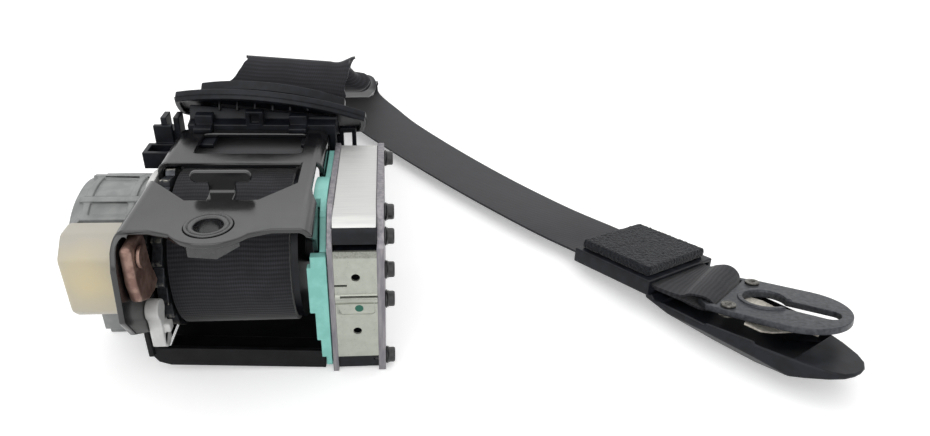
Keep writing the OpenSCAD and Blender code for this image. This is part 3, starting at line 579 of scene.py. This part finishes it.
# felt pad: a block with soft edges and a matted face
def feltPad():
    bpy.ops.object.select_all(action="DESELECT")
    bpy.ops.mesh.primitive_cube_add(size=1)
    piece = bpy.context.object
    piece.name = "felt_block"
    size = [h - l for l, h in zip(pad["low"], pad["high"])]
    middle = [(h + l) / 2 for l, h in zip(pad["low"], pad["high"])]
    for vertex in piece.data.vertices:
        vertex.co = Vector([m + c * s for m, c, s in zip(middle, vertex.co, size)]) * mm
    finishModifiers(piece, [("BEVEL", dict(width=pad["edge"] * mm, segments=4)),
                            ("REMESH", dict(mode="VOXEL", voxel_size=pad["voxel"] * mm))])
    tufts = bpy.data.textures.new("felt tufts", "CLOUDS")
    tufts.noise_scale = pad["tuft"] * mm
    finishModifiers(piece, [("DISPLACE", dict(texture=tufts, strength=pad["tuftHeight"] * mm,
                                              mid_level=pad["tuftMiddle"]))])
    for vertex in piece.data.vertices:
        vertex.co = fitPoint(vertex.co / mm) * mm
    piece.data.materials.append(finishes["felt_black"])
    shadeSmooth(piece, 80)
    return piece


felt = feltPad()
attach(felt, "fitting_body")
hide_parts("felt_pad")
print("felt pad done")

# edge radius in mm and body for each CAD piece that gets softened edges
softEdges = {
    "frame": (0.6, "retractor_body"),
    "lower_strap": (0.5, "retractor_body"),
    "bezel": (0.5, "retractor_body"),
    "belt_guide": (0.5, "retractor_body"),
    "side_clip": (0.35, "retractor_body"),
    "side_eyelet": (0.5, "retractor_body"),
    "sensor_cover": (1.4, "retractor_body"),
    "spring_housing": (0.5, "retractor_body"),
    "bearing_plate": (0.4, "retractor_body"),
    "inner_plate": (0.3, "retractor_body"),
    "outer_plate": (0.3, "retractor_body"),
    "pawl_carrier": (0.6, "retractor_body"),
    "tensioner_bolts": (0.7, "retractor_body"),
    "anchor_nut": (0.3, "retractor_body"),
    "spring_cover": (0.4, "retractor_body"),
    "mechanism_base": (0.4, "retractor_body"),
    "ratchet_wheel": (0.25, "spool_body"),
    "plate_rivets": (0.4, "fitting_body"),
    "locking_pawl": (1.5, "pawl_body"),
    "end_sleeve": (0.7, "fitting_body"),
    "end_cover": (0.8, "fitting_body"),
    "keyhole_plate": (0.35, "fitting_body")}
# their flat faces run round an opening, so they are split into convex ones before the edges are rounded
roundOpenings = ("keyhole_plate", "bezel")
# merge distances in mm; angles in degrees at which faces join, edges are rounded and faces shade as one;
# weight is how strongly large faces lead the shading
soften = dict(merge=0.002, mergeCut=0.01, flat=0.5, sharp=32, smooth=35, weight=90, segments=2)


# keeps the part of a piece above or below a height in mm, and closes the cut
def cutAt(height, keepUpper):
    bpy.ops.mesh.select_all(action="SELECT")
    bpy.ops.mesh.bisect(plane_co=(0, 0, height * mm), plane_no=(0, 0, 1), use_fill=True,
                        clear_inner=keepUpper, clear_outer=not keepUpper)


# even shading over flat faces, whatever the rounded edges beside them do
def evenShade(piece):
    shadeSmooth(piece, soften["smooth"])
    finishModifiers(piece, [("WEIGHTED_NORMAL", dict(keep_sharp=True, weight=soften["weight"]))])


# a copy of a CAD piece with its hard edges rounded
def softCopy(node, radius, name, cut=None):
    source = nodes[node]
    piece = source.copy()
    piece.data = source.data.copy()
    piece.name = name
    piece.parent = None
    for key in list(piece.keys()):
        del piece[key]
    bpy.context.scene.collection.objects.link(piece)
    onlySelect(piece)
    bpy.ops.object.mode_set(mode="EDIT")
    bpy.ops.mesh.select_all(action="SELECT")
    bpy.ops.mesh.remove_doubles(threshold=soften["merge"] * mm)
    bpy.ops.mesh.dissolve_limited(angle_limit=math.radians(soften["flat"]))
    if node in roundOpenings:
        bpy.ops.mesh.vert_connect_concave()
    if cut:
        cutAt(*cut)
    bpy.ops.object.mode_set(mode="OBJECT")
    if radius:
        finishModifiers(piece, [("BEVEL", dict(width=radius * mm, segments=soften["segments"],
                                               limit_method="ANGLE", use_clamp_overlap=False,
                                               angle_limit=math.radians(soften["sharp"])))])
    evenShade(piece)
    return piece


def softened(node, radius):
    piece = softCopy(node, radius, node + "_softened")
    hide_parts(node)
    return piece


for nodeName, (edgeRadius, bodyName) in softEdges.items():
    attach(softened(nodeName, edgeRadius), bodyName)
print("edges softened:", len(softEdges))

# the bright block shows less of its front than the solid has, so two copies of it are cut at one height:
# the upper stays the aluminium block, and the lower gets the black plastic finish, so the block is dark below
# that height
blockSplit = dict(edge=0.3, height=-7.6)
block = softCopy("tensioner_block", blockSplit["edge"], "tensioner_block_upper", (blockSplit["height"], True))
blockLowerDark = softCopy("tensioner_block", blockSplit["edge"], "block_lower_dark", (blockSplit["height"], False))
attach(block, "retractor_body")
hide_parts("tensioner_block")
blockLowerDark.data.materials[0] = finishes["black_plastic"]
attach(blockLowerDark, "retractor_body")
print("block upper and dark lower part done")

# the front sheet's slit, and a shallow groove round the paint mark where its frame is pressed
sheetCut = dict(slitX=(43.6, 60.0), slitZ=(-38.95, -38.05), slitDepth=6.0, frameAt=(49.8, -44.8),
                frameHalf=(7.6, 3.1), frameLine=0.4, corner=1.5, depth=0.3, belowFrame=4)


# picks the edges of a piece that run front to back, in edge mode
def pickDeepEdges(piece):
    bpy.ops.object.mode_set(mode="EDIT")
    bpy.ops.mesh.select_mode(type="EDGE")
    bpy.ops.mesh.select_all(action="DESELECT")
    bpy.ops.object.mode_set(mode="OBJECT")
    spots = piece.data.vertices
    for edge in piece.data.edges:
        run = spots[edge.vertices[1]].co - spots[edge.vertices[0]].co
        edge.select = abs(run.normalized().y) > 0.9
    bpy.ops.object.mode_set(mode="EDIT")


# a block through the sheet's face, its corners round as seen from the front
def faceBlock(face, middle, half, depth, corner=0):
    bpy.ops.object.select_all(action="DESELECT")
    bpy.ops.mesh.primitive_cube_add(size=2, location=(middle[0] * mm, face, middle[1] * mm),
                                    scale=(half[0] * mm, depth * mm, half[1] * mm))
    piece = bpy.context.object
    bpy.ops.object.transform_apply(location=True, rotation=True, scale=True)
    if corner:
        pickDeepEdges(piece)
        bpy.ops.mesh.bevel(offset=corner * mm, segments=4)
        bpy.ops.object.mode_set(mode="OBJECT")
    return piece


# takes one piece out of another and deletes it
def takeOut(piece, cutter):
    finishModifiers(piece, [("BOOLEAN", dict(object=cutter, operation="DIFFERENCE", solver="EXACT"))])
    bpy.data.objects.remove(cutter)


def cutSheet(piece):
    at, half, line = sheetCut["frameAt"], sheetCut["frameHalf"], sheetCut["frameLine"]
    foot = (at[1] - sheetCut["belowFrame"]) * mm
    face = min(v.co.y for v in piece.data.vertices if v.co.z < foot)  # its front face
    left, right = sheetCut["slitX"]
    low, high = sheetCut["slitZ"]
    slitAt = ((left + right) / 2, (low + high) / 2)
    slitHalf = ((right - left) / 2, (high - low) / 2)
    takeOut(piece, faceBlock(face, slitAt, slitHalf, sheetCut["slitDepth"]))
    ring = faceBlock(face, at, half, sheetCut["depth"], sheetCut["corner"])
    takeOut(ring, faceBlock(face, at, [h - line for h in half], sheetCut["depth"] * 2,
                            sheetCut["corner"] - line))
    takeOut(piece, ring)
    bpy.ops.object.mode_set(mode="EDIT")
    bpy.ops.mesh.select_all(action="SELECT")
    bpy.ops.mesh.remove_doubles(threshold=soften["mergeCut"] * mm)
    bpy.ops.object.mode_set(mode="OBJECT")
    evenShade(piece)


sheet = softCopy("cover_sheet", 0, "cover_sheet_softened")
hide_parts("cover_sheet")
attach(sheet, "retractor_body")
cutSheet(sheet)
print("front sheet done")

# the leaf spring, riveted at one end, gets softened edges and stays where the CAD has it
leaf = softened("lock_spring", 0.12)  # edge radius in mm
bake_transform(leaf)
print("leaf spring done")

rib = dict(at=(-14, -6, 2, 10, 18, 26), size=(1.0, 1.8, 6.2), middle=(94.3, 9.1), lean=-36.6, foot=0.5,
           edge=0.25)


# picks the faces of a piece that point one way, in face mode
def pickFaces(piece, way):
    bpy.ops.object.mode_set(mode="EDIT")
    bpy.ops.mesh.select_mode(type="FACE")
    bpy.ops.mesh.select_all(action="DESELECT")
    bpy.ops.object.mode_set(mode="OBJECT")
    for face in piece.data.polygons:
        face.select = face.normal.dot(Vector(way)) > 0.9
    bpy.ops.object.mode_set(mode="EDIT")


# one thin rib on the guide's sloping front, below the bezel, narrower at its foot
def guideRib():
    bpy.ops.object.select_all(action="DESELECT")
    bpy.ops.mesh.primitive_cube_add(size=1, location=(rib["at"][0] * mm, *(c * mm for c in rib["middle"])),
                                    rotation=(math.radians(rib["lean"]), 0, 0),
                                    scale=[c * mm for c in rib["size"]])
    piece = bpy.context.object
    piece.name = "guide_rib_0"
    bpy.ops.object.transform_apply(location=False, rotation=False, scale=True)
    pickFaces(piece, (0, 0, -1))
    bpy.ops.transform.resize(value=(1, rib["foot"], rib["foot"]), orient_type="LOCAL")
    bpy.ops.object.mode_set(mode="OBJECT")
    bpy.ops.object.transform_apply(location=True, rotation=True, scale=True)
    finishModifiers(piece, [("BEVEL", dict(width=rib["edge"] * mm, segments=2))])
    shadeSmooth(piece, 35)
    piece.data.materials.append(finishes["black_plastic"])
    return piece


firstRib = guideRib()
for i, x in enumerate(rib["at"][1:], 1):
    ribCopy = firstRib.copy()
    ribCopy.data = firstRib.data.copy()
    ribCopy.name = "guide_rib_%d" % i
    bpy.context.scene.collection.objects.link(ribCopy)
    onlySelect(ribCopy)
    ribCopy.location.x = (x - rib["at"][0]) * mm
    bpy.ops.object.transform_apply(location=True, rotation=True, scale=True)
for i in range(len(rib["at"])):
    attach(bpy.data.objects["guide_rib_%d" % i], "retractor_body")
print("guide ribs:", len(rib["at"]))

stageSet = dict(floor=3.0, floorAt=(0.1, 0.15), floorGap=0.3, floorTone="#f4f4f4", floorGlow=0.35,
                worldLight=0.55)


# 1 for rays that see the backdrop straight, in a mirror or through a clear piece
def directRays(tree):
    rays = tree.nodes.new("ShaderNodeLightPath").outputs
    straight = mathNode(tree, "MAXIMUM", rays["Is Camera Ray"], rays["Is Glossy Ray"])
    return mathNode(tree, "MAXIMUM", straight, rays["Is Transmission Ray"])


def addFloor():
    bpy.ops.object.select_all(action="DESELECT")
    height = (floorZ - stageSet["floorGap"]) * mm
    bpy.ops.mesh.primitive_plane_add(size=stageSet["floor"], location=(*stageSet["floorAt"], height))
    floor = bpy.context.object
    floor.name = "studio_floor"
    material, tree, shader = newFinish("matt white paper", stageSet["floorTone"], 0.9)[:3]
    shader.inputs["Emission Color"].default_value = colour("#ffffff")
    glow = mathNode(tree, "MULTIPLY", directRays(tree), stageSet["floorGlow"])
    tree.links.new(glow, shader.inputs["Emission Strength"])
    floor.data.materials.append(material)


def addWorld():
    world = bpy.data.worlds.new("white studio")
    bpy.context.scene.world = world
    world.use_nodes = True
    tree = world.node_tree
    strength = addNode(tree, "ShaderNodeMapRange", {"Value": directRays(tree), "To Max": 1.0,
                                                    "To Min": stageSet["worldLight"]})
    back = tree.nodes["Background"]
    back.inputs["Color"].default_value = colour("#ffffff")
    tree.links.new(strength.outputs["Result"], back.inputs["Strength"])


def addLamp(name, at, target, size, power):
    data = bpy.data.lights.new(name, "AREA")
    data.size = size
    data.energy = power
    lamp = bpy.data.objects.new(name, data)
    bpy.context.scene.collection.objects.link(lamp)
    lamp.location = at
    lamp.rotation_euler = (Vector(target) - Vector(at)).to_track_quat("-Z", "Y").to_euler()


photoView = dict(at=(0.0632, -0.2132, 0.1271), right=(0.9936, -0.1013, 0.0488), up=(0.0098, 0.4978, 0.8582),
                 ahead=(0.1112, 0.8613, -0.5110), focalPixels=680, imageWidth=930)


def addCamera():
    data = bpy.data.cameras.new("photo_camera")
    data.sensor_width = 36
    data.lens = photoView["focalPixels"] / photoView["imageWidth"] * data.sensor_width
    data.clip_start = 0.01
    camera = bpy.data.objects.new("photo_camera", data)
    bpy.context.scene.collection.objects.link(camera)
    right, up, ahead, at = (photoView[k] for k in ("right", "up", "ahead", "at"))
    rows = [[right[i], up[i], -ahead[i], at[i]] for i in range(3)]
    camera.matrix_world = [list(r) for r in zip(*(rows + [[0, 0, 0, 1]]))]
    bpy.context.scene.camera = camera


addFloor()
addWorld()
addLamp("top_softbox", (0.0, 0.35, 0.9), (0.08, 0.1, -0.04), 1.8, 6.6)
addLamp("front_softbox", (-0.2, -0.85, 0.62), (0.05, 0.08, -0.02), 1.2, 5.6)
addCamera()
bpy.context.scene.view_settings.view_transform = "Standard"
